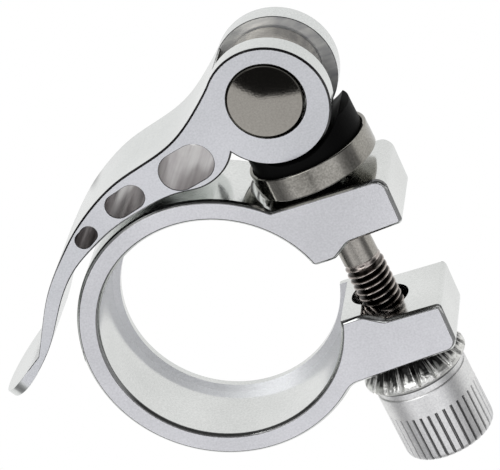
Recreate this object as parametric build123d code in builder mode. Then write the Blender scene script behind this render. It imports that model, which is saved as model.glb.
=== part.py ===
"""Quick-release clamp for a bicycle seatpost, in its own frame.

The clamp is a split aluminium collar that grips the top of the seat tube. Its two ears are
drawn together by an eye bolt with a knurled thumb nut at one end. At the other end the eye
hangs on the thick pin of a forked cam lever, whose two round cheeks press on a plastic
saddle in a steel cup.

Frame: the origin is on the bore axis, in the plane of the lip's shoulder, where the end of
the seat tube rests. +Z points out of the open end of the collar, so the lipped end is down.
+X points from the bore out along the ears, and +Y from the thumb nut to the lever.
All sizes are in millimetres and all angles in degrees.
"""
import os
from math import cos, radians, sin, tan

from build123d import *

# Seat tube, ring and lip
tube_diameter = 34.9
ring_wall = 3.25
collar_height = 14.0
lip_thickness = 1.5
lip_width = 1.15
edge_break = 0.4

# Ears: reach from the ring's outside, and faces where they cross the line of the bolt
ear_length = 10.5
ear_thickness = 8.1
ear_draft = 1.8
ear_tip_radius = 1.8
ear_inner_radius = 0.7
ear_root_radius = 3.0
gap_half = 6.55
gap_draft = 2.0
land_half = 4.8
land_inset = 0.6
land_slope = 2.7
land_edge_radius = 1.6
ear_hole_diameter = 8.0
spot_face_rise = 0.4
spot_face_clearance = 0.3

# Eye bolt
bolt_offset = 1.05
bolt_lean = 2.39
thread_diameter = 5.9
thread_length = 29.0
shank_diameter = 5.4
bolt_end_to_pin = 58.6
bolt_end_bevel = 0.8
eye_diameter = 15.0
eye_width = 6.4
eye_neck_length = 1.5
eye_neck_taper = 7.0

# Pivot pin
pin_diameter = 10.9
pin_edge = 0.3
running_clearance = 0.05
cheek_hole_room = 0.42

# Lever: cam cheeks and fork
cam_diameter = 17.6
cam_throw = 0.5
fork_width = 14.8
fork_slot = 6.8
slot_clearance = 0.6
slot_upper_angle = 135.0
slot_lower_angle = 214.0
slot_mouth_angle = 45.0

# Lever: the handle's outline, as angle round the bore and distance from the ring
inner_edge = ((67.0, 3.6), (72.0, 2.25), (80.0, 1.75), (96.0, 0.95), (112.0, 0.85), (121.0, 1.0),
              (133.0, 1.65), (147.0, 2.3), (158.0, 3.05), (165.5, 4.2), (171.5, 6.0), (176.5, 8.4))
inner_end = (183.1, 15.15)
outer_edge = ((169.0, 6.3), (159.3, 5.05), (145.0, 4.4), (133.0, 4.2), (122.0, 4.6), (107.7, 5.6),
              (99.0, 6.4), (79.5, 9.4))
outer_end = (181.7, 15.6)
tip_flat = 0.4

# Lever: where the handle joins the cheeks, as angle round them and distance from their rim
web_corner = (211.0, -0.4)
neck_bulge = (162.0, 1.35)
neck_end = (128.0, 0.0)

# Lever: three lightening slots, as angle, distance from the ring, length, width and slant
windows = ((76.2, 5.55, 8.3, 5.7, 11.0), (99.8, 3.3, 6.2, 3.7, 14.0), (119.7, 2.8, 3.8, 2.45, 30.0))

# Cup and saddle
cup_diameter = 18.0
cup_wall_height = 3.6
cup_sheet = 0.6
cup_dish = 1.2
cup_seat_radius = 4.8
cup_hole_diameter = 6.8
saddle_height = 5.35
saddle_fit = 0.08
saddle_horn = 3.3
saddle_hole_diameter = 6.6
cam_clearance = 0.2
saddle_slack = 1.2
seat_clearance = 0.02

# Washer and thumb nut under the lower ear
washer_diameter = 15.8
washer_height = 4.2
washer_top_radius = 5.6
washer_bevel = 0.9
washer_rim = 0.45
washer_play = 0.25
washer_teeth = 18
washer_tooth_depth = 0.4
nut_diameter = 14.0
nut_neck_height = 1.0
nut_neck_step = 0.25
nut_height = 12.0
nut_plain_band = 3.4
nut_end_radius = 1.8
nut_end_steps = 2
nut_recess_diameter = 8.4
nut_recess_depth = 1.6
knurl_count = 30
knurl_depth = 0.35

# Places worked out from the sizes above
bore_radius = tube_diameter / 2
ring_radius = bore_radius + ring_wall
ear_reach = ring_radius + ear_length
ear_outer = gap_half + ear_thickness
land_end = ring_radius - land_inset
bolt_x = ring_radius + bolt_offset
middle = collar_height / 2 - lip_thickness
floor_plane = Plane.XY.offset(-lip_thickness)
cam_radius = cam_diameter / 2
lean = radians(bolt_lean)
bolt_foot = Vector(bolt_x, 0, middle)
bolt_up = Vector(-sin(lean), cos(lean), 0)
bolt_out = Vector(cos(lean), sin(lean), 0)


def on_bolt(height):
    """Point on the bolt's axis, so far above the middle of the gap."""
    return bolt_foot + bolt_up * height


def across_bolt(height):
    """Plane square to the bolt, so far above the middle of the gap."""
    return Plane(origin=on_bolt(height), x_dir=bolt_out, z_dir=bolt_up)


def beside_bolt(height):
    """Plane that holds the bolt's axis as its Y axis, with its X axis along the ears."""
    return Plane(origin=on_bolt(height), x_dir=bolt_out, z_dir=(0, 0, 1))


def from_ring(angle, distance):
    """Point in the XY plane, by its angle round the bore and its distance from the ring."""
    radius = ring_radius + distance
    return (radius * cos(radians(angle)), radius * sin(radians(angle)))


# Heights along the bolt, where it leaves the ears and where each piece starts
ear_top = ear_outer / (cos(lean) - sin(lean) * tan(radians(ear_draft)))
ear_bottom = -ear_outer / (cos(lean) + sin(lean) * tan(radians(ear_draft)))
cup_lift = cup_seat_radius * sin(radians(bolt_lean + ear_draft)) + seat_clearance
cup_seat = ear_top + cup_lift
cup_corner = cup_seat + cup_dish
cup_rim = cup_corner + cup_wall_height
saddle_groove = cup_seat + cup_sheet + saddle_height
cam_centre = saddle_groove + cam_clearance + cam_radius
pin_centre = cam_centre + cam_throw
washer_lift = washer_top_radius * sin(radians(abs(bolt_lean - ear_draft))) + seat_clearance
washer_top = ear_bottom - washer_lift
nut_top = washer_top - washer_height - seat_clearance
bolt_end = pin_centre - bolt_end_to_pin
thread_radius = thread_diameter / 2

# Collar: ring and ears in one piece, split through the gap, with a lip at the floor end.
# A spot face cuts the ring's shoulder back where it would touch the round cup on the ear.
ear_slope = tan(radians(ear_draft))
gap_slope = tan(radians(gap_draft))
ear_tip_y = ear_outer - (ear_reach - bolt_x) * ear_slope
ear_start_y = ear_outer + bolt_x * ear_slope
slope_end = land_end + land_slope
slope_end_y = gap_half + (slope_end - bolt_x) * gap_slope
gap_mouth_y = gap_half + (ear_reach - bolt_x) * gap_slope
root_x = (ring_radius**2 - ear_outer**2) ** 0.5

with BuildPart() as collar:
    with BuildSketch(floor_plane) as section:
        Circle(ring_radius)
        Polygon(
            (0, ear_start_y),
            (ear_reach, ear_tip_y),
            (ear_reach, -ear_tip_y),
            (0, -ear_start_y),
            align=None,
        )
        fillet(section.vertices().sort_by_distance((root_x, -ear_outer))[0], ear_root_radius)
        Circle(bore_radius, mode=Mode.SUBTRACT)
        Polygon(
            (0, land_half),
            (land_end, land_half),
            (slope_end, slope_end_y),
            (ear_reach, gap_mouth_y),
            (ear_reach, -gap_mouth_y),
            (slope_end, -slope_end_y),
            (land_end, -land_half),
            (0, -land_half),
            align=None,
            mode=Mode.SUBTRACT,
        )
        for side in (1, -1):
            for x, y, radius in (
                (ear_reach, ear_tip_y, ear_tip_radius),
                (ear_reach, gap_mouth_y, ear_inner_radius),
                (land_end, land_half, land_edge_radius),
                (slope_end, slope_end_y, land_edge_radius),
            ):
                fillet(section.vertices().sort_by_distance((x, y * side))[0], radius)
    extrude(amount=collar_height)
    with BuildSketch(floor_plane) as lip:
        Circle(bore_radius)
        Circle(bore_radius - lip_width, mode=Mode.SUBTRACT)
        with Locations((bore_radius, 0)):
            Rectangle(tube_diameter, 2 * land_half, mode=Mode.SUBTRACT)
    extrude(amount=lip_thickness)
    chamfer(collar.faces().filter_by(Axis.Z).sort_by(Axis.Z)[-1].edges(), edge_break)
    chamfer(collar.faces().filter_by(Axis.Z).sort_by(Axis.Z)[0].edges(), edge_break)
    with BuildSketch(across_bolt(-ear_reach)):
        Circle(ear_hole_diameter / 2)
    extrude(amount=2 * ear_reach, mode=Mode.SUBTRACT)
    with BuildSketch(across_bolt(cup_seat + spot_face_rise)):
        Circle(cup_diameter / 2 + spot_face_clearance)
    extrude(amount=ear_reach, mode=Mode.SUBTRACT)
collar.part.label = "collar"

# Eye bolt: a round eye on a shank that ends in the thread
with BuildPart() as eye_bolt:
    with BuildSketch(Plane.XY.offset(middle - eye_width / 2)):
        with Locations(on_bolt(pin_centre)):
            Circle(eye_diameter / 2)
    extrude(amount=eye_width)
    with BuildSketch(across_bolt(bolt_end)):
        Circle(shank_diameter / 2)
    extrude(amount=bolt_end_to_pin)
    with BuildSketch(across_bolt(pin_centre - eye_diameter / 2 - eye_neck_length)):
        Circle(shank_diameter / 2)
    extrude(amount=2 * eye_neck_length, taper=-eye_neck_taper)
    with BuildSketch(across_bolt(bolt_end)):
        Circle(thread_radius)
    extrude(amount=thread_length)
    chamfer(eye_bolt.faces().sort_by_distance(on_bolt(bolt_end))[0].edges(), bolt_end_bevel)
    with BuildSketch(Plane.XY.offset(middle - eye_width / 2)):
        with Locations(on_bolt(pin_centre)):
            Circle(pin_diameter / 2 + running_clearance)
    extrude(amount=eye_width, mode=Mode.SUBTRACT)
eye_bolt.part.label = "eye_bolt"

# Pivot pin: carried by the lever's cheeks, turning in the eye
with BuildPart() as pivot_pin:
    with BuildSketch(Plane.XY.offset(middle - fork_width / 2)):
        with Locations(on_bolt(pin_centre)):
            Circle(pin_diameter / 2)
    extrude(amount=fork_width)
    chamfer(pivot_pin.edges().filter_by(GeomType.CIRCLE), pin_edge)
pivot_pin.part.label = "pivot_pin"

# Lever: two cam cheeks, a web with three slots, and a handle that hugs the ring. The bolt's
# pull holds the pin against the lower side of the slightly wider holes in the cheeks.
pin_point = on_bolt(pin_centre)
cam_point = on_bolt(cam_centre)
slot_radius = eye_diameter / 2 + slot_clearance
reach = 2 * cam_diameter
tip_corner_radius = (fork_width - tip_flat) / 2


def round_pin(angle):
    """Point in the XY plane, well clear of the fork, by its angle round the pivot pin."""
    x = pin_point.X + reach * cos(radians(angle))
    return (x, pin_point.Y + reach * sin(radians(angle)))


def from_cheek(angle, distance):
    """Point in the XY plane, by its angle round the cheeks and its distance from their rim."""
    x = cam_point.X + (cam_radius + distance) * cos(radians(angle))
    return (x, cam_point.Y + (cam_radius + distance) * sin(radians(angle)))


with BuildPart() as lever:
    with BuildSketch(Plane.XY.offset(middle - fork_width / 2)):
        with BuildLine():
            inside = Spline(
                from_cheek(*web_corner),
                *[from_ring(*place) for place in inner_edge],
                from_ring(*inner_end),
            )
            tip = Line(inside @ 1, from_ring(*outer_end))
            Line(tip @ 1, from_ring(*outer_edge[0]))
            outside = Spline(
                *[from_ring(*place) for place in outer_edge],
                from_cheek(*neck_bulge),
                from_cheek(*neck_end),
            )
            Line(outside @ 1, inside @ 0)
        make_face()
        with Locations(cam_point):
            Circle(cam_radius)
        for angle, distance, length, width, slant in windows:
            with Locations(from_ring(angle, distance)):
                SlotOverall(length, width, rotation=slant, mode=Mode.SUBTRACT)
    extrude(amount=fork_width)
    tip_point = (Vector(from_ring(*inner_end)) + Vector(from_ring(*outer_end))) / 2
    tip_edges = lever.faces().sort_by_distance(tip_point + Vector(0, 0, middle))[0].edges()
    fillet(tip_edges.filter_by(Axis.Z, reverse=True), tip_corner_radius)
    with BuildSketch(Plane.XY.offset(middle - fork_slot / 2)):
        with Locations(pin_point):
            Circle(slot_radius)
        Polygon(
            (pin_point.X, pin_point.Y),
            round_pin(slot_lower_angle),
            round_pin(-slot_mouth_angle),
            round_pin(slot_mouth_angle),
            round_pin(slot_upper_angle),
            align=None,
        )
    extrude(amount=fork_slot, mode=Mode.SUBTRACT)
    with BuildSketch(Plane.XY.offset(middle - fork_width / 2)):
        with Locations(pin_point + bolt_up * (cheek_hole_room - seat_clearance)):
            Circle(pin_diameter / 2 + cheek_hole_room)
    extrude(amount=fork_width, mode=Mode.SUBTRACT)
lever.part.label = "lever"

# Cup: a pressed steel dish, whose sunk bottom stands on the ear round the bolt hole
cup_radius = cup_diameter / 2
cup_hole = cup_hole_diameter / 2
corner_radius = cup_radius - cup_sheet

with BuildPart() as cup:
    with BuildSketch(beside_bolt(cup_seat)):
        with BuildLine():
            Polyline(
                (cup_hole, 0),
                (cup_seat_radius, 0),
                (cup_radius, cup_dish),
                (cup_radius, cup_dish + cup_wall_height),
                (corner_radius, cup_dish + cup_wall_height),
                (corner_radius, cup_dish + cup_sheet / 2),
                (cup_seat_radius - cup_sheet / 4, cup_sheet),
                (cup_hole, cup_sheet),
                close=True,
            )
        make_face()
    revolve(axis=Axis(on_bolt(0), bolt_up))
cup.part.label = "cup"

# Saddle: a plastic block in the cup, hollowed to a slightly wider round than the cheeks, so
# that they have room to shift sideways while the cam turns
with BuildPart() as saddle:
    with BuildSketch(beside_bolt(cup_seat + cup_sheet)):
        with BuildLine():
            Polyline(
                (saddle_hole_diameter / 2, saddle_fit),
                (cup_seat_radius - cup_sheet, saddle_fit),
                (corner_radius - saddle_fit, cup_dish - cup_sheet / 2 + saddle_fit),
                (corner_radius - saddle_fit, saddle_height + saddle_horn),
                (saddle_hole_diameter / 2, saddle_height + saddle_horn),
                close=True,
            )
        make_face()
    revolve(axis=Axis(on_bolt(0), bolt_up))
    with BuildSketch(Plane.XY.offset(middle - cup_radius)):
        with Locations(cam_point + bolt_up * (saddle_slack - cam_clearance)):
            Circle(cam_radius + saddle_slack)
    extrude(amount=cup_diameter, mode=Mode.SUBTRACT)
saddle.part.label = "saddle"

# Toothed washer: a cone with radial teeth towards the ear, and a flange over the nut
washer_radius = washer_diameter / 2
washer_hole = thread_radius + washer_play
washer_slope = Vector(
    washer_top_radius - washer_radius, 0, washer_height - washer_bevel - washer_rim
)
tooth_start = Vector(washer_radius, 0, washer_bevel + washer_rim)
tooth_side = washer_tooth_depth * 2**0.5

with BuildPart() as tooth_gap:
    with BuildSketch(Plane(origin=tooth_start, x_dir=(0, 1, 0), z_dir=washer_slope)):
        Rectangle(tooth_side, tooth_side, rotation=45)
    extrude(amount=washer_slope.length, both=True)

with BuildPart() as toothed_washer:
    with BuildSketch(beside_bolt(washer_top - washer_height)):
        with BuildLine():
            Polyline(
                (washer_hole, 0),
                (nut_diameter / 2, 0),
                (washer_radius, washer_bevel),
                (washer_radius, washer_bevel + washer_rim),
                (washer_top_radius, washer_height),
                (washer_hole, washer_height),
                close=True,
            )
        make_face()
    revolve(axis=Axis(on_bolt(0), bolt_up))
    with Locations(across_bolt(washer_top - washer_height)):
        with PolarLocations(0, washer_teeth):
            add(tooth_gap.part, mode=Mode.SUBTRACT)
toothed_washer.part.label = "toothed_washer"

# Thumb nut: a turned barrel with a knurled grip
nut_radius = nut_diameter / 2
thread_hole = thread_radius + running_clearance
groove_side = knurl_depth * 2**0.5


def round_end(step):
    """Point on the rounded end of the nut's outline, from its barrel to its end face."""
    turn = radians(90 * step / nut_end_steps)
    x = nut_radius - nut_end_radius * (1 - cos(turn))
    return (x, -nut_height + nut_end_radius * (1 - sin(turn)))


with BuildPart() as thumb_nut:
    with BuildSketch(beside_bolt(nut_top)):
        with BuildLine():
            Polyline(
                (thread_hole, 0),
                (nut_radius - nut_neck_step, 0),
                (nut_radius - nut_neck_step, -nut_neck_height),
                (nut_radius, -nut_neck_height),
                *[round_end(step) for step in range(nut_end_steps + 1)],
                (nut_recess_diameter / 2, -nut_height),
                (nut_recess_diameter / 2, -nut_height + nut_recess_depth),
                (thread_hole, -nut_height + nut_recess_depth),
                close=True,
            )
        make_face()
    revolve(axis=Axis(on_bolt(0), bolt_up))
    with BuildSketch(across_bolt(nut_top - nut_height)):
        with PolarLocations(nut_radius, knurl_count):
            Rectangle(groove_side, groove_side, rotation=45)
    extrude(amount=nut_height - nut_neck_height - nut_plain_band, mode=Mode.SUBTRACT)
thumb_nut.part.label = "thumb_nut"

os.makedirs("parts", exist_ok=True)
for piece in (collar, lever, pivot_pin, eye_bolt, saddle, cup, toothed_washer, thumb_nut):
    export_step(piece.part, f"parts/{piece.part.label}.step")
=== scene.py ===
# %% [markdown]
# # Quick-release seatpost clamp
#
# A split aluminium collar closes round the top of a bicycle's seat tube. An eye bolt draws its
# two ears together. A knurled thumb nut holds one end of the bolt, and a cam lever pulls on the
# other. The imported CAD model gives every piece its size, its place and its motion. This script
# gives each one its looks: broken edges, a real screw thread, and metal and plastic finishes.
#
# The script works in metres, in the CAD model's own frame. The origin is on the bore's axis, at
# the shoulder of the lip. Z points out of the open end, and Y from the nut to the lever.

from math import atan2, cos, pi, radians, sin

import bmesh
import bpy
from mathutils import Euler, Matrix, Vector


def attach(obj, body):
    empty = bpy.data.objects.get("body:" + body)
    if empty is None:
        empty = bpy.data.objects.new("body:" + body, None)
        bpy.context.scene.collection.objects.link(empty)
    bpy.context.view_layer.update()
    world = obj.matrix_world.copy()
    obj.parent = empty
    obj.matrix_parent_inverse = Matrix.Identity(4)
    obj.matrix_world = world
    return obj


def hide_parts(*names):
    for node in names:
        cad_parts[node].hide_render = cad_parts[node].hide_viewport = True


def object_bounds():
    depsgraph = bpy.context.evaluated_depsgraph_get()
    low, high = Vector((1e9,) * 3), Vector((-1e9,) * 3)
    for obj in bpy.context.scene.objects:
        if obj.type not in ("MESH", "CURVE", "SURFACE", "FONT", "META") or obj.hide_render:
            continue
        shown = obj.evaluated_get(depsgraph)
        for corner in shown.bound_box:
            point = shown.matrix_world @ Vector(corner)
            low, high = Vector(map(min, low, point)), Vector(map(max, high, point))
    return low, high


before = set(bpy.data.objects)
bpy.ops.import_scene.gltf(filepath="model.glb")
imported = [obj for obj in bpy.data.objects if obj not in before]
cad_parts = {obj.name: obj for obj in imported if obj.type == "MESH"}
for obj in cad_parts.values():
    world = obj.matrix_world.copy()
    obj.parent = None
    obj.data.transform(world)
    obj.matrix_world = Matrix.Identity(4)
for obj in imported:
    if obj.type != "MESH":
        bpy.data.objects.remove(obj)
cad_low, cad_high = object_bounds()
print("CAD box in mm:", [round((high - low) * 1000, 1) for low, high in zip(cad_low, cad_high)])

# %% [markdown]
# ## The camera
#
# The photo was taken from about 40 cm away, well above the clamp and turned so that the bolt
# points down to the right. The place and the turn below come from fitting the bore's two round
# edges and the ears' corners to the photo.

# %% Camera
camera_place = Vector((0.11691, 0.15972, 0.35237))
camera_turn = Euler((radians(-27.420), radians(6.534), radians(-23.553)))
camera_lens = 197.86
sensor_width = 36

camera_data = bpy.data.cameras.new("camera")
camera_data.lens = camera_lens
camera_data.sensor_width = sensor_width
camera = bpy.data.objects.new("camera", camera_data)
camera.location = camera_place
camera.rotation_euler = camera_turn
bpy.context.collection.objects.link(camera)
bpy.context.scene.camera = camera
bpy.context.scene.view_settings.view_transform = "Standard"
print("camera distance in mm:", round(camera_place.length * 1000))

# %% [markdown]
# ## The studio
#
# Polished metal shows what is round it, so the room matters more than the lamps. The clamp stands
# on a pale floor in a tent. The tent is white above. Lower down it is grey on one side and nearly
# black on the other, the +Y side, so an edge that faces +Y mirrors the dark and shows as a thin
# dark line, as in the photo. One dark card with a slightly wavy edge hangs almost overhead, like
# a photographer's black screen, where the pin's domed end mirrors it. The camera itself sees
# plain white behind the clamp.

# %% World
card_direction = Vector((-0.105, -0.050, 0.993))
card_edge = (0.9500, 0.9530)
card_waves = 0.020
card_wave_scale = 12
card_level = 0.02
turn_to_dark = (-0.15, 0.15)
cool_tint = 1.02
light_side_bands = ((0.0, 0.30), (0.30, 0.22), (0.50, 0.45), (0.66, 1.0), (1.0, 1.0))
dark_side_bands = ((0.0, 0.03), (0.45, 0.04), (0.60, 0.10), (0.72, 0.98), (1.0, 0.95))

world = bpy.data.worlds.new("tent")
world.use_nodes = True
bpy.context.scene.world = world
tree = world.node_tree
tree.nodes.clear()
coordinates = tree.nodes.new("ShaderNodeTexCoord")
parts_of = tree.nodes.new("ShaderNodeSeparateXYZ")
waves = tree.nodes.new("ShaderNodeTexNoise")
waves.inputs["Scale"].default_value = card_wave_scale
towards = tree.nodes.new("ShaderNodeVectorMath")
towards.operation = "DOT_PRODUCT"
towards.inputs[1].default_value = card_direction.normalized()
wavy = tree.nodes.new("ShaderNodeMath")
wavy.operation = "MULTIPLY_ADD"
wavy.inputs[1].default_value = card_waves
card = tree.nodes.new("ShaderNodeMapRange")
card.inputs["From Min"].default_value = card_edge[0] + card_waves / 2
card.inputs["From Max"].default_value = card_edge[1] + card_waves / 2
side = tree.nodes.new("ShaderNodeMapRange")
side.inputs["From Min"].default_value = turn_to_dark[0]
side.inputs["From Max"].default_value = turn_to_dark[1]
walls = tree.nodes.new("ShaderNodeMix")
walls.data_type = "RGBA"
hung = tree.nodes.new("ShaderNodeMix")
hung.data_type = "RGBA"
hung.inputs["B"].default_value = (card_level, card_level, card_level, 1)
tent = tree.nodes.new("ShaderNodeBackground")
white = tree.nodes.new("ShaderNodeBackground")
white.inputs["Color"].default_value = (1, 1, 1, 1)
ray = tree.nodes.new("ShaderNodeLightPath")
choose = tree.nodes.new("ShaderNodeMixShader")
out = tree.nodes.new("ShaderNodeOutputWorld")
for bands, socket in ((light_side_bands, "A"), (dark_side_bands, "B")):
    ramp = tree.nodes.new("ShaderNodeValToRGB")
    while len(ramp.color_ramp.elements) < len(bands):
        ramp.color_ramp.elements.new(1.0)
    for element, (height, level) in zip(ramp.color_ramp.elements, bands):
        element.position = height
        element.color = (level, level, level * cool_tint, 1)
    tree.links.new(parts_of.outputs["Z"], ramp.inputs[0])
    tree.links.new(ramp.outputs[0], walls.inputs[socket])
tree.links.new(coordinates.outputs["Generated"], parts_of.inputs[0])
tree.links.new(coordinates.outputs["Generated"], towards.inputs[0])
tree.links.new(coordinates.outputs["Generated"], waves.inputs["Vector"])
tree.links.new(waves.outputs["Fac"], wavy.inputs[0])
tree.links.new(towards.outputs["Value"], wavy.inputs[2])
tree.links.new(wavy.outputs[0], card.inputs["Value"])
tree.links.new(card.outputs["Result"], hung.inputs["Factor"])
tree.links.new(parts_of.outputs["Y"], side.inputs["Value"])
tree.links.new(side.outputs["Result"], walls.inputs["Factor"])
tree.links.new(walls.outputs["Result"], hung.inputs["A"])
tree.links.new(hung.outputs["Result"], tent.inputs["Color"])
tree.links.new(ray.outputs["Is Camera Ray"], choose.inputs[0])
tree.links.new(tent.outputs[0], choose.inputs[1])
tree.links.new(white.outputs[0], choose.inputs[2])
tree.links.new(choose.outputs[0], out.inputs[0])
print("bands on the light side:", len(light_side_bands), "on the dark side:", len(dark_side_bands))

# %% [markdown]
# ## The floor
#
# The photo has no visible floor: the clamp is on plain white. So the floor is white to the camera
# and an ordinary pale floor to soft light. Metal that mirrors it sees it nearly white close by and
# dimmer far out. Between the lever and the ring little light gets down to it, so it mirrors dark
# there, inside a narrow oval with a soft edge.

# %% Floor and light
floor_size = 3.0
floor_gap = 0.0002
floor_tone = 0.80
mirrored_floor = 0.90
mirrored_far_floor = 0.40
light_pool = (0.05, 0.35)
shadow_centre = (-0.0045, 0.0218, 0)
shadow_half_axes = (0.0085, 0.0018)
shadow_fade = (0.7, 1.3)
shadow_level = 0.04
lamp_place = Vector((-0.25, 0.45, 0.55))
lamp_size = 0.5
lamp_energy = 1.5

floor_mesh = bpy.data.meshes.new("floor")
bm = bmesh.new()
bmesh.ops.create_grid(bm, x_segments=1, y_segments=1, size=floor_size / 2)
bm.to_mesh(floor_mesh)
bm.free()
floor = bpy.data.objects.new("floor", floor_mesh)
floor.location = (0, 0, cad_low.z - floor_gap)
bpy.context.collection.objects.link(floor)

floor_material = bpy.data.materials.new("floor")
floor_material.use_nodes = True
tree = floor_material.node_tree
tree.nodes.clear()
ray = tree.nodes.new("ShaderNodeLightPath")
lit = tree.nodes.new("ShaderNodeBsdfDiffuse")
lit.inputs["Color"].default_value = (floor_tone, floor_tone, floor_tone, 1)
mirrored = tree.nodes.new("ShaderNodeEmission")
coordinates = tree.nodes.new("ShaderNodeTexCoord")
distance = tree.nodes.new("ShaderNodeVectorMath")
distance.operation = "LENGTH"
pool = tree.nodes.new("ShaderNodeMapRange")
pool.interpolation_type = "SMOOTHSTEP"
pool.inputs["From Min"].default_value = light_pool[0]
pool.inputs["From Max"].default_value = light_pool[1]
pool.inputs["To Min"].default_value = mirrored_floor
pool.inputs["To Max"].default_value = mirrored_far_floor
from_shadow = tree.nodes.new("ShaderNodeVectorMath")
from_shadow.operation = "SUBTRACT"
from_shadow.inputs[1].default_value = shadow_centre
in_axes = tree.nodes.new("ShaderNodeVectorMath")
in_axes.operation = "DIVIDE"
in_axes.inputs[1].default_value = (*shadow_half_axes, 1)
how_far = tree.nodes.new("ShaderNodeVectorMath")
how_far.operation = "LENGTH"
shadow = tree.nodes.new("ShaderNodeMapRange")
shadow.interpolation_type = "SMOOTHSTEP"
shadow.inputs["From Min"].default_value = shadow_fade[0]
shadow.inputs["From Max"].default_value = shadow_fade[1]
shadow.inputs["To Min"].default_value = shadow_level
level = tree.nodes.new("ShaderNodeMath")
level.operation = "MULTIPLY"
tree.links.new(coordinates.outputs["Object"], distance.inputs[0])
tree.links.new(coordinates.outputs["Object"], from_shadow.inputs[0])
tree.links.new(from_shadow.outputs[0], in_axes.inputs[0])
tree.links.new(in_axes.outputs[0], how_far.inputs[0])
tree.links.new(how_far.outputs["Value"], shadow.inputs["Value"])
tree.links.new(distance.outputs["Value"], pool.inputs["Value"])
tree.links.new(pool.outputs["Result"], level.inputs[0])
tree.links.new(shadow.outputs["Result"], level.inputs[1])
tree.links.new(level.outputs[0], mirrored.inputs["Strength"])
seen = tree.nodes.new("ShaderNodeEmission")
seen.inputs["Color"].default_value = (1, 1, 1, 1)
for_metal = tree.nodes.new("ShaderNodeMixShader")
for_camera = tree.nodes.new("ShaderNodeMixShader")
out = tree.nodes.new("ShaderNodeOutputMaterial")
tree.links.new(ray.outputs["Is Glossy Ray"], for_metal.inputs[0])
tree.links.new(lit.outputs[0], for_metal.inputs[1])
tree.links.new(mirrored.outputs[0], for_metal.inputs[2])
tree.links.new(ray.outputs["Is Camera Ray"], for_camera.inputs[0])
tree.links.new(for_metal.outputs[0], for_camera.inputs[1])
tree.links.new(seen.outputs[0], for_camera.inputs[2])
tree.links.new(for_camera.outputs[0], out.inputs["Surface"])
floor_mesh.materials.append(floor_material)

lamp_data = bpy.data.lights.new("soft_lamp", "AREA")
lamp_data.size = lamp_size
lamp_data.energy = lamp_energy
lamp = bpy.data.objects.new("soft_lamp", lamp_data)
lamp.location = lamp_place
lamp.rotation_euler = lamp_place.to_track_quat("Z", "Y").to_euler()
bpy.context.collection.objects.link(lamp)
print("floor at mm:", round(floor.location.z * 1000, 2))

# %% [markdown]
# ## Finishes
#
# All the metals share three effects. Grain is what a belt, a lathe or a tumbler leaves: fine
# noise, drawn out along one direction on a brushed surface. Clouding is a slow change in tone,
# from uneven polish and handling. The third finds the flat sides of a piece, which were faced on
# a mill and stayed duller than the polished walls round them.


# %% Shared effects
grain_detail = 4
cloud_detail = 3


def new_group(name, numbers):
    """An empty node group with number inputs and the output tone, and its two end nodes."""
    group = bpy.data.node_groups.new(name, "ShaderNodeTree")
    for label, value in numbers:
        socket = group.interface.new_socket(label, in_out="INPUT", socket_type="NodeSocketFloat")
        socket.default_value = value
    group.interface.new_socket("tone", in_out="OUTPUT", socket_type="NodeSocketFloat")
    return group, group.nodes.new("NodeGroupInput"), group.nodes.new("NodeGroupOutput")


grain_group, start, end = new_group(
    "grain", (("along_x", 1), ("along_y", 1), ("along_z", 1), ("fineness", 900))
)
coordinates = grain_group.nodes.new("ShaderNodeTexCoord")
stretch = grain_group.nodes.new("ShaderNodeCombineXYZ")
scaled = grain_group.nodes.new("ShaderNodeVectorMath")
scaled.operation = "MULTIPLY"
noise = grain_group.nodes.new("ShaderNodeTexNoise")
noise.inputs["Detail"].default_value = grain_detail
for label, axis in (("along_x", "X"), ("along_y", "Y"), ("along_z", "Z")):
    grain_group.links.new(start.outputs[label], stretch.inputs[axis])
grain_group.links.new(coordinates.outputs["Object"], scaled.inputs[0])
grain_group.links.new(stretch.outputs[0], scaled.inputs[1])
grain_group.links.new(scaled.outputs[0], noise.inputs["Vector"])
grain_group.links.new(start.outputs["fineness"], noise.inputs["Scale"])
grain_group.links.new(noise.outputs["Fac"], end.inputs["tone"])

cloud_group, start, end = new_group("clouding", (("size", 60),))
coordinates = cloud_group.nodes.new("ShaderNodeTexCoord")
noise = cloud_group.nodes.new("ShaderNodeTexNoise")
noise.inputs["Detail"].default_value = cloud_detail
cloud_group.links.new(coordinates.outputs["Object"], noise.inputs["Vector"])
cloud_group.links.new(start.outputs["size"], noise.inputs["Scale"])
cloud_group.links.new(noise.outputs["Fac"], end.inputs["tone"])

flat_group, start, end = new_group("flat_sides", (("from_slope", 0.97), ("to_slope", 0.995)))
coordinates = flat_group.nodes.new("ShaderNodeTexCoord")
parts_of = flat_group.nodes.new("ShaderNodeSeparateXYZ")
upright = flat_group.nodes.new("ShaderNodeMath")
upright.operation = "ABSOLUTE"
mask = flat_group.nodes.new("ShaderNodeMapRange")
flat_group.links.new(coordinates.outputs["Normal"], parts_of.inputs[0])
flat_group.links.new(parts_of.outputs["Z"], upright.inputs[0])
flat_group.links.new(upright.outputs[0], mask.inputs["Value"])
flat_group.links.new(start.outputs["from_slope"], mask.inputs["From Min"])
flat_group.links.new(start.outputs["to_slope"], mask.inputs["From Max"])
flat_group.links.new(mask.outputs["Result"], end.inputs["tone"])
print("groups:", [group.name for group in bpy.data.node_groups])
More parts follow.
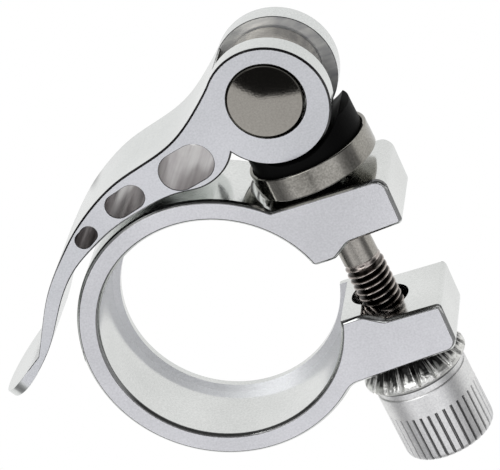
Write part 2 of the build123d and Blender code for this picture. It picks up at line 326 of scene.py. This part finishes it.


# %% [markdown]
# One function makes every metal. It mixes a dark and a light tone by grain and clouding, turns
# the same grain into a little relief, and sets how rough the walls and the flat sides are. The
# flat sides of the collar and the lever lean to lavender. Their broken edges get a dark colour of
# their own, a painted dark reflection that draws them as dark lines. The walls of the fork and of
# the lever's slots, which a cutter left, keep its streaks; the fork's walls also get a brighter
# tone, a painted highlight, and the slots' walls a darker one, a painted shade. A second function
# paints shade into a metal: in the grooves of the nut, on the teeth of the washer and in the
# thread.

# %% A metal from its colours and its grain
tone_range = (0.7, 1.3)
lavender = (1.085, 1.070, 1.125)
fork_metallic = 0.5
plastic_tone = 0.004
plastic_shine = 0.03
plastic_roughness = (0.35, 0.55)
plastic_clouds = 300


def add_group(tree, group, **values):
    """The group as a node in the tree, with these values on its inputs."""
    node = tree.nodes.new("ShaderNodeGroup")
    node.node_tree = group
    for label, value in values.items():
        node.inputs[label].default_value = value
    return node


def metal(
    name, dark, light, *, walls, flats, relief,
    tint=(1, 1, 1), grain=(1, 1, 1), fineness=3500, clouds=60,
):
    """A metal between two tones, with the roughness of its walls and flats and the flats' tint."""
    material = bpy.data.materials.new(name)
    material.use_nodes = True
    tree = material.node_tree
    shader = tree.nodes["Principled BSDF"]
    shader.inputs["Metallic"].default_value = 1.0
    fine = add_group(
        tree, grain_group, along_x=grain[0], along_y=grain[1], along_z=grain[2], fineness=fineness
    )
    slow = add_group(tree, cloud_group, size=clouds)
    flat = add_group(tree, flat_group)
    both = tree.nodes.new("ShaderNodeMath")
    both.operation = "ADD"
    tree.links.new(fine.outputs["tone"], both.inputs[0])
    tree.links.new(slow.outputs["tone"], both.inputs[1])
    spread = tree.nodes.new("ShaderNodeMapRange")
    spread.inputs["From Min"].default_value = tone_range[0]
    spread.inputs["From Max"].default_value = tone_range[1]
    tree.links.new(both.outputs[0], spread.inputs["Value"])
    colour = tree.nodes.new("ShaderNodeMix")
    colour.data_type = "RGBA"
    colour.inputs["A"].default_value = (*dark, 1)
    colour.inputs["B"].default_value = (*light, 1)
    tree.links.new(spread.outputs["Result"], colour.inputs["Factor"])
    tinted = tree.nodes.new("ShaderNodeMix")
    tinted.data_type = "RGBA"
    tinted.blend_type = "MULTIPLY"
    tinted.inputs["B"].default_value = (*tint, 1)
    tree.links.new(flat.outputs["tone"], tinted.inputs["Factor"])
    tree.links.new(colour.outputs["Result"], tinted.inputs["A"])
    tree.links.new(tinted.outputs["Result"], shader.inputs["Base Color"])
    gloss = tree.nodes.new("ShaderNodeMapRange")
    gloss.inputs["To Min"].default_value = walls
    gloss.inputs["To Max"].default_value = flats
    tree.links.new(flat.outputs["tone"], gloss.inputs["Value"])
    tree.links.new(gloss.outputs["Result"], shader.inputs["Roughness"])
    bumps = tree.nodes.new("ShaderNodeBump")
    bumps.inputs["Distance"].default_value = relief
    tree.links.new(fine.outputs["tone"], bumps.inputs["Height"])
    tree.links.new(bumps.outputs["Normal"], shader.inputs["Normal"])
    return material


def darken(material, attribute, tone):
    """Paints shade, turning the colour to this dark tone where the piece's own attribute is 0."""
    tree = material.node_tree
    shader = tree.nodes["Principled BSDF"]
    plain = shader.inputs["Base Color"].links[0].from_socket
    mask = tree.nodes.new("ShaderNodeAttribute")
    mask.attribute_name = attribute
    mixed = tree.nodes.new("ShaderNodeMix")
    mixed.data_type = "RGBA"
    mixed.inputs["A"].default_value = (*tone, 1)
    tree.links.new(mask.outputs["Fac"], mixed.inputs["Factor"])
    tree.links.new(plain, mixed.inputs["B"])
    tree.links.new(mixed.outputs["Result"], shader.inputs["Base Color"])


satin = metal(
    "satin_aluminium", (0.66, 0.673, 0.660), (0.82, 0.833, 0.818),
    walls=0.14, flats=0.46, relief=0.000004, tint=lavender,
)
lever_satin = metal(
    "lever_aluminium", (0.64, 0.660, 0.648), (0.80, 0.818, 0.806),
    walls=0.16, flats=0.46, relief=0.000004, tint=lavender,
)
# Dark colour for the chamfers: a painted dark reflection, drawn as dark lines along the edges.
painted_dark_edges = metal(
    "edges_painted_dark", (0.12, 0.12, 0.12), (0.26, 0.26, 0.26),
    walls=0.20, flats=0.20, relief=0.000002,
)
# Brighter tone for the faces inside the fork: a painted highlight, over the streaks a cutter left.
painted_bright_fork = metal(
    "fork_walls_painted_bright", (0.50, 0.51, 0.53), (1.0, 1.0, 0.96),
    walls=0.26, flats=0.26, relief=0.000006, grain=(0.25, 1, 1), fineness=1200, clouds=90,
)
painted_bright_fork.node_tree.nodes["Principled BSDF"].inputs["Metallic"].default_value = fork_metallic
# Darker tone for the walls of the slots: a painted shade, over the streaks a cutter left.
painted_shade_slots = metal(
    "slot_walls_painted_shade", (0.36, 0.33, 0.34), (0.64, 0.63, 0.62),
    walls=0.30, flats=0.30, relief=0.000004, grain=(1, 1, 0.04), fineness=1400, clouds=120,
)
nickel = metal(
    "nickel_plate", (0.265, 0.25, 0.225), (0.335, 0.32, 0.287),
    walls=0.08, flats=0.06, relief=0.000002,
)
bolt_metal = metal(
    "bolt_plate", (0.235, 0.222, 0.202), (0.44, 0.42, 0.385),
    walls=0.20, flats=0.30, relief=0.000004,
)
thread_metal = metal(
    "thread_plate", (0.30, 0.26, 0.24), (0.66, 0.60, 0.56),
    walls=0.22, flats=0.30, relief=0.000004,
)
# Painted shade, near black, on the thread everywhere but its crests.
darken(thread_metal, "crest", (0.015, 0.012, 0.010))
cup_metal = metal(
    "cup_steel", (0.19, 0.182, 0.162), (0.40, 0.385, 0.35),
    walls=0.14, flats=0.14, relief=0.000003, clouds=130,
)
nut_metal = metal(
    "nut_aluminium", (0.66, 0.66, 0.665), (0.94, 0.94, 0.93),
    walls=0.42, flats=0.42, relief=0.000012,
)
# Painted shade in the nut's grooves.
darken(nut_metal, "ridge", (0.20, 0.20, 0.20))
washer_metal = metal(
    "washer_cast", (0.50, 0.50, 0.47), (1.0, 1.0, 0.97),
    walls=0.32, flats=0.32, relief=0.00012, fineness=2200,
)
# Painted shade, near black, on the washer's teeth near the bolt, under the ear.
darken(washer_metal, "outside_painted_shade", (0.012, 0.012, 0.012))

plastic = bpy.data.materials.new("black_plastic")
plastic.use_nodes = True
tree = plastic.node_tree
shader = tree.nodes["Principled BSDF"]
shader.inputs["Base Color"].default_value = (plastic_tone, plastic_tone, plastic_tone, 1)
shader.inputs["Specular IOR Level"].default_value = plastic_shine
slow = add_group(tree, cloud_group, size=plastic_clouds)
gloss = tree.nodes.new("ShaderNodeMapRange")
gloss.inputs["To Min"].default_value = plastic_roughness[0]
gloss.inputs["To Max"].default_value = plastic_roughness[1]
tree.links.new(slow.outputs["tone"], gloss.inputs["Value"])
tree.links.new(gloss.outputs["Result"], shader.inputs["Roughness"])
print("materials:", [material.name for material in bpy.data.materials])

# %% [markdown]
# ## Where things are
#
# The bolt leans a little, so its frame is handy: across it towards the ear tips, across it
# towards the open end, and up along it. Pieces that are round the bolt are turned in this frame
# and then moved into place. The numbers are the CAD model's own, here in metres.

# %% Places
bolt_lean = radians(2.39)
bolt_foot = Vector((0.02175, 0, 0.0055))
pin_height = 0.0305027
bolt_up = Vector((-sin(bolt_lean), cos(bolt_lean), 0))
bolt_out = Vector((cos(bolt_lean), sin(bolt_lean), 0))
bolt_frame = Matrix((bolt_out, Vector((0, 0, -1)), bolt_up)).transposed().to_4x4()
bolt_frame.translation = bolt_foot
pin_point = bolt_foot + bolt_up * pin_height
middle = bolt_foot.z
print("pin at mm:", [round(value * 1000, 2) for value in pin_point])

# %% [markdown]
# ## Pieces from CAD shapes
#
# No real edge is sharp: a deburring tool or tumbling breaks it, and the light catches it. A piece
# starts from its CAD shape, welded into one mesh. A small bevel then rounds its edges, or
# chamfers them when it has one segment only, and weighted normals keep its flat faces flat. Most
# pieces take the same path from shape to finished object, so three functions hold it.

# %% Dress a CAD node
corner_angle = radians(30)
flat_angle = radians(0.3)
weld_distance = 0.000002


def shape_of(node):
    """A CAD node's shape as one welded mesh, with the triangles of flat faces joined."""
    bm = bmesh.new()
    bm.from_mesh(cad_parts[node].data)
    bmesh.ops.remove_doubles(bm, verts=bm.verts, dist=weld_distance)
    bmesh.ops.dissolve_limit(bm, angle_limit=flat_angle, verts=bm.verts, edges=bm.edges)
    return bm


def place(bm, name, material, body, stands_for):
    """The mesh as a piece of the clamp: shaded smooth, on its body, in place of its node."""
    mesh = bpy.data.meshes.new(name)
    bm.to_mesh(mesh)
    bm.free()
    mesh.shade_smooth()
    mesh.set_sharp_from_angle(angle=corner_angle)
    mesh.materials.append(material)
    piece = bpy.data.objects.new(name, mesh)
    bpy.context.collection.objects.link(piece)
    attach(piece, body)
    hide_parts(stands_for)
    return piece


def soften(piece, width, limit="ANGLE", clamp=True, segments=3, edge_material=-1):
    """Rounds or chamfers the piece's edges by so much, and evens out its shading."""
    bevel = piece.modifiers.new("rounded_edges", "BEVEL")
    bevel.width = width
    bevel.segments = segments
    bevel.limit_method = limit
    bevel.material = edge_material
    bevel.angle_limit = corner_angle
    bevel.miter_outer = "MITER_ARC"
    bevel.use_clamp_overlap = clamp
    even = piece.modifiers.new("even_shading", "WEIGHTED_NORMAL")
    even.keep_sharp = True


print("CAD nodes:", sorted(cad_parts))

# %% [markdown]
# ## The collar
#
# A collar like this can be sliced from an extruded bar, bored, drilled through both ears and
# slit. Its edges are then broken with a small chamfer. In the photo the chamfers show as dark
# lines along the walls that face the lever's side. They are thinner round the rim of the bore and
# on the other walls, and there is none on the lip or on the rims of the drilled holes. So each
# edge carries a weight, which says how much of the full chamfer it gets. One tall corner is
# rounder than the rest: the one where the slit's wall on the lever's side meets the bore.

# %% Collar
ear_hole = 0.004
on_ear_hole = 0.00002
collar_chamfer = 0.00025
bore_share = 0.35
plain_share = 0.25
bore_edge = 0.0180
wall_slope = 0.5
towards_lever = 0.2
corner_rounding = 0.0007
corner_steps = 4
tall_edge = 0.010
upright_within = 0.0003
towards_nut = -0.3


def is_edge(edge):
    """Whether two faces meet at this edge with a real corner between them."""
    return len(edge.link_faces) == 2 and edge.calc_face_angle() > corner_angle


def in_ear_hole(edge):
    """Whether an edge is on a rim of the holes that the bolt goes through."""
    offsets = [vert.co - bolt_foot for vert in edge.verts]
    across = [(offset - bolt_up * offset.dot(bolt_up)).length for offset in offsets]
    return max(abs(length - ear_hole) for length in across) < on_ear_hole


bm = shape_of("collar")
weights = bm.edges.layers.float.new("bevel_weight_edge")
for edge in bm.edges:
    if is_edge(edge):
        in_bore = all(vert.co.xy.length < bore_edge for vert in edge.verts)
        on_lever_side = any(
            abs(face.normal.z) < wall_slope and face.normal.y > towards_lever
            for face in edge.link_faces
        )
        share = 1.0 if on_lever_side else plain_share
        if in_bore:
            share = bore_share if edge.verts[0].co.z > middle else 0.0
        edge[weights] = 0.0 if in_ear_hole(edge) else share
corners = [
    edge
    for edge in bm.edges
    if is_edge(edge)
    and edge.calc_length() > tall_edge
    and (edge.verts[0].co - edge.verts[1].co).xy.length < upright_within
    and edge.verts[0].co.y > 0
    and any(face.normal.y < towards_nut for face in edge.link_faces)
]
print(
    "rounded corners at mm:",
    [[round(value * 1000, 1) for value in edge.verts[0].co] for edge in corners],
)
bmesh.ops.bevel(
    bm,
    geom=corners,
    offset=corner_rounding,
    segments=corner_steps,
    profile=0.5,
    affect="EDGES",
    material=-1,
    clamp_overlap=True,
)
collar = place(bm, "collar_ring", satin, "collar", "collar")
# The collar's chamfers take the dark edge colour, a painted dark reflection.
collar.data.materials.append(painted_dark_edges)
soften(collar, collar_chamfer, "WEIGHT", clamp=False, segments=1, edge_material=1)
print("collar faces:", len(collar.data.polygons))

# %% [markdown]
# ## The lever
#
# The lever can be cut from a thick extruded bar: its outline and its slots with one cutter, the
# fork with another. Its outline has a chamfer, which fades towards the handle's tip. The slots
# and the holes for the pin only lost their burrs, so they get a smaller share. Each edge carries
# this share as its weight. The flicked tip is a little shorter here and rounder, the fork a
# little wider inside and the pin's gap open towards the upper right, as the photo shows them.

# %% Lever
hole_radius = 0.00587
hole_centre = pin_point + bolt_up * 0.0004
hole_shift = Vector((0.00019, -0.00004, 0))
seen_hole_radius = 0.00556
fork_half = 0.0034
fork_widening = 0.0003
lever_chamfer = 0.00028
burr_share = 0.3
notch = Vector((-0.0266, 0.0052))
tip_direction = Vector((-0.845, -0.535))
tip_shortening = 0.08
tip_start = 0.001
tip_reach = 0.004
tip_rounding = 0.0004
chamfer_grows = (-0.022, -0.010)
outer_face = 0.0073
same_place = 0.00001
margin = 0.0001
across_bore = 0.9
along_bore = 0.1
# Each slot: its direction from the bore's axis in degrees, its distance from it, its length and
# its width in millimetres, and its slant in degrees.
slots = (
    (76.2, 26.25, 8.3, 5.7, 11.0),
    (99.8, 24.0, 6.2, 3.7, 14.0),
    (119.7, 23.5, 3.8, 2.45, 30.0),
)


def in_slot(point):
    """Whether a point is on or inside one of the lever's three slots."""
    for angle, distance, length, width, slant in slots:
        centre = Vector((cos(radians(angle)), sin(radians(angle)))) * distance / 1000
        along = Vector((cos(radians(slant)), sin(radians(slant))))
        half = (length - width) / 2000
        offset = point.xy - centre
        nearest = along * max(-half, min(half, offset.dot(along)))
        if (offset - nearest).length < width / 2000 + margin:
            return True
    return False


def beyond_notch(point):
    """How far past the notch, towards the flicked tip, a point of the lever is."""
    return (point.xy - notch).dot(tip_direction) if point.x < notch.x + tip_reach else 0.0


bm = shape_of("lever")
for vert in bm.verts:
    vert.co.xy -= tip_direction * max(0.0, beyond_notch(vert.co)) * tip_shortening
tip_edges = [
    edge
    for edge in bm.edges
    if is_edge(edge) and min(beyond_notch(vert.co) for vert in edge.verts) > tip_start
]
bmesh.ops.bevel(
    bm,
    geom=tip_edges,
    offset=tip_rounding,
    segments=corner_steps,
    profile=0.5,
    affect="EDGES",
    material=-1,
    clamp_overlap=True,
)
weights = bm.edges.layers.float.new("bevel_weight_edge")
for edge in bm.edges:
    depths = [abs(vert.co.z - middle) for vert in edge.verts]
    level = abs(depths[0] - depths[1]) < same_place
    if is_edge(edge) and level and beyond_notch(edge.verts[0].co) < tip_start:
        halfway = (edge.verts[0].co + edge.verts[1].co) / 2
        in_hole = (halfway - hole_centre).xy.length < hole_radius + margin
        share = (halfway.x - chamfer_grows[0]) / (chamfer_grows[1] - chamfer_grows[0])
        if min(depths) < outer_face or in_hole or in_slot(halfway):
            share = 0
        edge[weights] = burr_share + (1 - burr_share) * min(1.0, max(0.0, share))
for vert in bm.verts:
    if abs((vert.co - hole_centre).xy.length - hole_radius) < same_place:
        outwards = (vert.co - hole_centre).xy * (seen_hole_radius / hole_radius - 1)
        vert.co += hole_shift + outwards.to_3d()
    if abs(abs(vert.co.z - middle) - fork_half) < same_place:
        vert.co.z += fork_widening if vert.co.z > middle else -fork_widening
# Faces inside the fork take the brighter tone, a painted highlight.
for face in bm.faces:
    inside = abs(face.calc_center_median().z - middle) < fork_half + fork_widening + margin
    face.material_index = 1 if inside and abs(face.normal.z) > across_bore else 0
    # The slots' walls take the darker tone, a painted shade.
    if all(in_slot(vert.co) for vert in face.verts) and abs(face.normal.z) < along_bore:
        face.material_index = 2
lever = place(bm, "cam_lever", lever_satin, "lever", "lever")
for material in (painted_bright_fork, painted_shade_slots, painted_dark_edges):
    lever.data.materials.append(material)
# The lever's chamfers take the dark edge colour, a painted dark reflection.
soften(lever, lever_chamfer, "WEIGHT", clamp=False, segments=1, edge_material=3)
print("lever faces:", len(lever.data.polygons))

# %% [markdown]
# ## The pin
#
# The pin is turned from bar and plated. Its ends are very slightly domed, as facing on a lathe
# and polishing leave them, so that the dark card's mirror image ends partway across. In the photo
# it is a little off the middle of the bolt's eye, so it is shifted here. Its outline is a row of
# points, and a spin about its axis makes the rest.

# %% Pin
pin_radius = 0.00532
pin_shift = Vector((-0.00004, 0.00025, 0))
pin_half = 0.0074
pin_dome = 0.0002
pin_corner = 0.00015
pin_steps = 96
dome_shares = (0, 0.25, 0.5, 0.75, 1)
same_point = 0.000001


def lathe(bm, outline, steps):
    """Spins an outline of (radius, height) points about the Z axis into a closed skin."""
    row = [bm.verts.new((radius, 0, height)) for radius, height in outline]
    edges = [bm.edges.new(pair) for pair in zip(row, row[1:])]
    bmesh.ops.spin(
        bm,
        geom=[*row, *edges],
        cent=(0, 0, 0),
        axis=(0, 0, 1),
        angle=2 * pi,
        steps=steps,
        use_merge=True,
    )
    bmesh.ops.remove_doubles(bm, verts=bm.verts, dist=same_point)
    bmesh.ops.recalc_face_normals(bm, faces=bm.faces)


face_radius = pin_radius - pin_corner
upper = [(face_radius * share, pin_half - pin_dome * share**2) for share in dome_shares]
upper += [(pin_radius, pin_half - pin_dome - pin_corner)]
bm = bmesh.new()
lathe(bm, upper + [(radius, -height) for radius, height in reversed(upper)], pin_steps)
bmesh.ops.translate(bm, verts=bm.verts, vec=pin_point + pin_shift)
pin = place(bm, "lever_pin", nickel, "lever", "pivot_pin")
print("pin faces:", len(pin.data.polygons))

# %% [markdown]
# ## Saddle and cup
#
# The saddle is moulded in black plastic, and the cup that holds it is pressed from sheet steel.
# Both have play round the bolt's shank. In the photo they have slid outwards along the ear, so
# here they sit a little off the bolt's axis too. The saddle's horn ends lower in the photo than
# in the CAD model, so a plane cuts it off, and its new top is closed again.

# %% Saddle and cup
outward_play = 0.00045
saddle_top = 0.02385
saddle_rounding = 0.00035
cup_rounding = 0.00018

bm = shape_of("saddle")
bmesh.ops.bisect_plane(
    bm,
    geom=[*bm.verts, *bm.edges, *bm.faces],
    plane_co=bolt_foot + bolt_up * saddle_top,
    plane_no=bolt_up,
    clear_outer=True,
)
bmesh.ops.holes_fill(bm, edges=bm.edges)
bmesh.ops.translate(bm, verts=bm.verts, vec=bolt_out * outward_play)
saddle = place(bm, "cam_saddle", plastic, "collar", "saddle")
soften(saddle, saddle_rounding)
bm = shape_of("cup")
bmesh.ops.translate(bm, verts=bm.verts, vec=bolt_out * outward_play)
cup = place(bm, "saddle_cup", cup_metal, "collar", "cup")
soften(cup, cup_rounding)
print("saddle faces:", len(saddle.data.polygons), "cup faces:", len(cup.data.polygons))

# %% [markdown]
# ## Washer
#
# The washer is a small casting. Its teeth, up under the ear, get a painted shade, near black, and
# its rim is bare and rough. An attribute on the mesh says how far outside the painted shade each
# point is, and so the mesh first gets more points.

# %% Washer
# The painted shade reaches out this far from the bolt's axis and fades out over the next width.
painted_shade_ends = 0.0073
painted_shade_fade = 0.0003

bm = shape_of("toothed_washer")
outside_painted_shade = bm.verts.layers.float.new("outside_painted_shade")
bmesh.ops.subdivide_edges(bm, edges=bm.edges, cuts=1)
for vert in bm.verts:
    offset = vert.co - bolt_foot
    across = (offset - bolt_up * offset.dot(bolt_up)).length
    vert[outside_painted_shade] = min(1.0, max(0.0, (across - painted_shade_ends) / painted_shade_fade))
washer = place(
    bm, "lock_washer", washer_metal, "toothed_washer", "toothed_washer"
)
print("washer faces:", len(washer.data.polygons))

# %% [markdown]
# ## The thumb nut
#
# The nut is a turned barrel: a neck, a plain band, and a grip with straight knurls. One ring of
# points is extruded down the barrel level by level, with each level's radius, and in the grip
# two points of every eight are pushed in to make a groove. The grooves get a painted shade, and
# an attribute marks them.

# %% Nut
knurls = 36
points_per_knurl = 8
groove_points = (0, 1)
# Each level: its height along the bolt, its radius and the depth of its grooves, in millimetres.
levels = (
    (-18.94, 3.00, 0.0),
    (-18.94, 6.65, 0.0),
    (-19.02, 6.75, 0.0),
    (-19.90, 6.75, 0.0),
    (-19.96, 6.93, 0.0),
    (-20.06, 7.00, 0.0),
    (-23.30, 7.00, 0.0),
    (-23.34, 7.00, 0.38),
    (-30.00, 7.00, 0.38),
    (-30.42, 6.90, 0.25),
    (-30.74, 6.62, 0.15),
    (-30.89, 6.20, 0.0),
    (-30.89, 4.20, 0.0),
    (-29.34, 4.20, 0.0),
    (-29.34, 3.00, 0.0),
    (-18.94, 3.00, 0.0),
)

points_round = knurls * points_per_knurl
bm = bmesh.new()
ridge = bm.verts.layers.float.new("ridge")
bmesh.ops.create_circle(bm, segments=points_round, radius=levels[0][1] / 1000)
ring = list(bm.edges)
bmesh.ops.translate(bm, verts=bm.verts, vec=(0, 0, levels[0][0] / 1000))
for vert in bm.verts:
    vert[ridge] = 1.0
for height, radius, depth in levels[1:]:
    grown = bmesh.ops.extrude_edge_only(bm, edges=ring)["geom"]
    ring = [item for item in grown if isinstance(item, bmesh.types.BMEdge)]
    for vert in {vert for edge in ring for vert in edge.verts}:
        step = round(atan2(vert.co.y, vert.co.x) / (2 * pi) * points_round)
        in_groove = step % points_per_knurl in groove_points
        angle = 2 * pi * step / points_round
        across = (radius - (depth if in_groove else 0)) / 1000
        vert.co = (across * cos(angle), across * sin(angle), height / 1000)
        vert[ridge] = 0.0 if in_groove and depth else 1.0
    ring = [edge for edge in ring if len(edge.link_faces) == 1]
bmesh.ops.remove_doubles(bm, verts=bm.verts, dist=same_point)
bmesh.ops.recalc_face_normals(bm, faces=bm.faces)
bmesh.ops.transform(bm, matrix=bolt_frame, verts=bm.verts)
nut = place(bm, "knurled_nut", nut_metal, "thumb_nut", "thumb_nut")
print("nut faces:", len(nut.data.polygons))

# %% [markdown]
# ## The bolt and its thread
#
# The eye and the shank are one forging, and the thread is rolled on it. The CAD bolt has a plain
# cylinder there. An M6 thread rises one millimetre a turn. Here one tooth of its profile is spun
# round the bolt and lifted as it goes, like a screw. The first turn swells out of the shank, as
# a rolled thread does. Only the crests stay bare: the rest of each tooth gets a painted shade. The
# eye's rim stands back from the cheeks in the photo, so it is a little smaller here than in the
# CAD model.

# %% Bolt
bolt_end = -0.0280973
thread_length = 0.029
thread_pitch = 0.001
crest_radius = 0.00295
root_radius = 0.00232
shank_radius = 0.0027
eye_radius = 0.0075
seen_eye_radius = 0.0069
steps_per_turn = 40
swelling_turns = 1.5
painted_shade_share = 0.65
overlap = 0.00002
bolt_rounding = 0.00012

bm = shape_of("eye_bolt")
thread_top = bolt_foot + bolt_up * (bolt_end + thread_length)
bmesh.ops.bisect_plane(
    bm,
    geom=[*bm.verts, *bm.edges, *bm.faces],
    plane_co=thread_top + bolt_up * overlap,
    plane_no=-bolt_up,
    clear_outer=True,
)
bmesh.ops.holes_fill(bm, edges=bm.edges)
for vert in bm.verts:
    if abs((vert.co - pin_point).xy.length - eye_radius) < same_place:
        vert.co.xy = pin_point.xy + (vert.co - pin_point).xy * seen_eye_radius / eye_radius
bolt = place(bm, "bolt_eye_and_shank", bolt_metal, "eye_bolt", "eye_bolt")
soften(bolt, bolt_rounding)

turns = int(thread_length / thread_pitch)
# The painted shade covers each tooth up to this radius; above it only the crests stay bare.
flank_radius = root_radius + (crest_radius - root_radius) * painted_shade_share
# The tooth's points: radius, and height as a share of the pitch.
tooth = (
    (root_radius, 0.0),
    (flank_radius, 0.30),
    (crest_radius, 0.42),
    (crest_radius, 0.54),
    (flank_radius, 0.66),
    (root_radius, 0.96),
    (root_radius, 1.0),
)
bm = bmesh.new()
crest = bm.verts.layers.float.new("crest")
row = [
    bm.verts.new((radius, 0, bolt_end + (share - 1) * thread_pitch)) for radius, share in tooth
]
edges = [bm.edges.new(pair) for pair in zip(row, row[1:])]
bmesh.ops.spin(
    bm,
    geom=[*row, *edges],
    cent=(0, 0, 0),
    axis=(0, 0, 1),
    dvec=(0, 0, thread_pitch / steps_per_turn),
    angle=2 * pi * (turns + 1),
    steps=(turns + 1) * steps_per_turn,
)
bmesh.ops.remove_doubles(bm, verts=bm.verts, dist=same_point)
for vert in bm.verts:
    radius = vert.co.xy.length
    vert[crest] = max(0.0, (radius - flank_radius) / (crest_radius - flank_radius))
    below_top = (bolt_end + thread_length - vert.co.z) / (swelling_turns * thread_pitch)
    swell = max(0.0, min(1.0, below_top))
    vert.co.xy *= (shank_radius + (radius - shank_radius) * swell) / radius
    vert[crest] = max(vert[crest], 1 - swell)
    vert.co.z = max(bolt_end, min(bolt_end + thread_length, vert.co.z))
bmesh.ops.create_circle(
    bm,
    cap_ends=True,
    segments=steps_per_turn,
    radius=root_radius,
    matrix=Matrix.Translation((0, 0, bolt_end)),
)
bmesh.ops.recalc_face_normals(bm, faces=bm.faces)
bmesh.ops.transform(bm, matrix=bolt_frame, verts=bm.verts)
thread = place(bm, "bolt_thread", thread_metal, "eye_bolt", "eye_bolt")
print("thread turns:", turns, "vertices:", len(thread.data.vertices))
